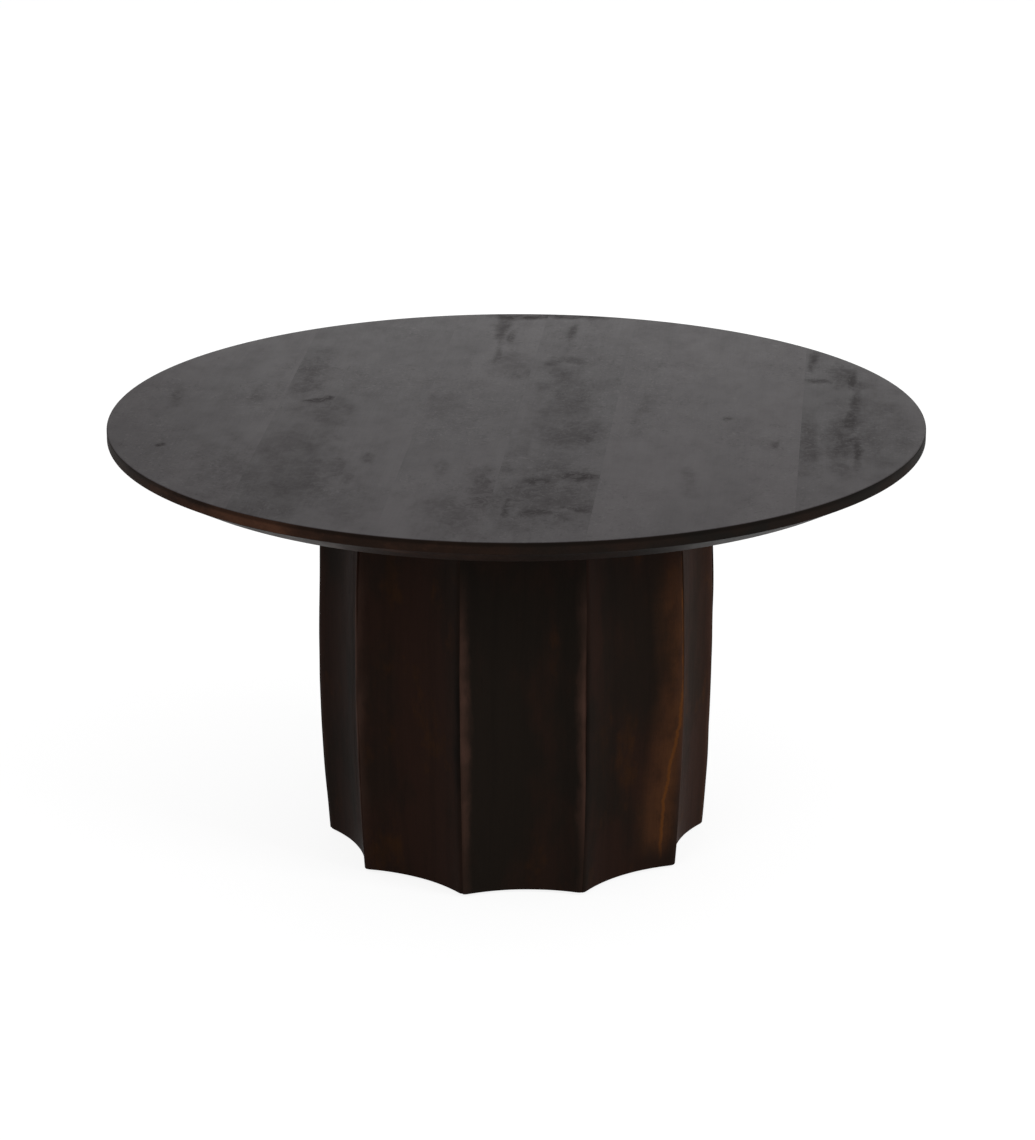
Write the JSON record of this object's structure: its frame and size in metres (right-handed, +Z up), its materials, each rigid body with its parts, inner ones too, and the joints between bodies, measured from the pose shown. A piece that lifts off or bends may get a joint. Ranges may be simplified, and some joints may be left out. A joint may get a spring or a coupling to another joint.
{
  "type": "drum table",
  "caption": "Round dark hardwood coffee table: a plank top with an under-bevelled rim on a hollow barrel drum of staves with concave flutes.",
  "frame": {"origin": "on the floor, under the middle of the drum and of the round top", "axes": "+Z up through the drum, +Y along the boards of the top, +X across them"},
  "size_m": [0.85, 0.85, 0.46],
  "materials": {
    "top_wood": "satin grey-brown stained hardwood with fine grain and some curly figure",
    "stave_wood": "satin espresso-stained hardwood, red-brown in places, with a streak of lighter sapwood",
    "inner_wood": "plain unstained hardwood",
    "plated_steel": "dull zinc-plated steel",
    "felt": "dense dark grey wool felt"
  },
  "bodies": {
    "root": {"top_board_1": "top_wood", "top_board_2": "top_wood", "top_board_3": "top_wood", "top_board_4": "top_wood", "top_board_5": "top_wood", "top_board_6": "top_wood", "top_tongue_1": "inner_wood", "top_tongue_2": "inner_wood", "top_tongue_3": "inner_wood", "top_tongue_4": "inner_wood", "top_tongue_5": "inner_wood", "stave_01": "stave_wood", "stave_02": "stave_wood", "stave_03": "stave_wood", "stave_04": "stave_wood", "stave_05": "stave_wood", "stave_06": "stave_wood", "stave_07": "stave_wood", "stave_08": "stave_wood", "stave_09": "stave_wood", "stave_10": "stave_wood", "stave_spline_01": "inner_wood", "stave_spline_02": "inner_wood", "stave_spline_03": "inner_wood", "stave_spline_04": "inner_wood", "stave_spline_05": "inner_wood", "stave_spline_06": "inner_wood", "stave_spline_07": "inner_wood", "stave_spline_08": "inner_wood", "stave_spline_09": "inner_wood", "stave_spline_10": "inner_wood", "drum_head": "inner_wood", "floor_ring": "inner_wood", "head_block_01": "inner_wood", "head_block_02": "inner_wood", "head_block_03": "inner_wood", "head_block_04": "inner_wood", "head_block_05": "inner_wood", "head_block_06": "inner_wood", "head_block_07": "inner_wood", "head_block_08": "inner_wood", "head_block_09": "inner_wood", "head_block_10": "inner_wood", "top_bolts": "plated_steel", "threaded_inserts": "plated_steel", "felt_pads": "felt"}
  },
  "joints": []
}
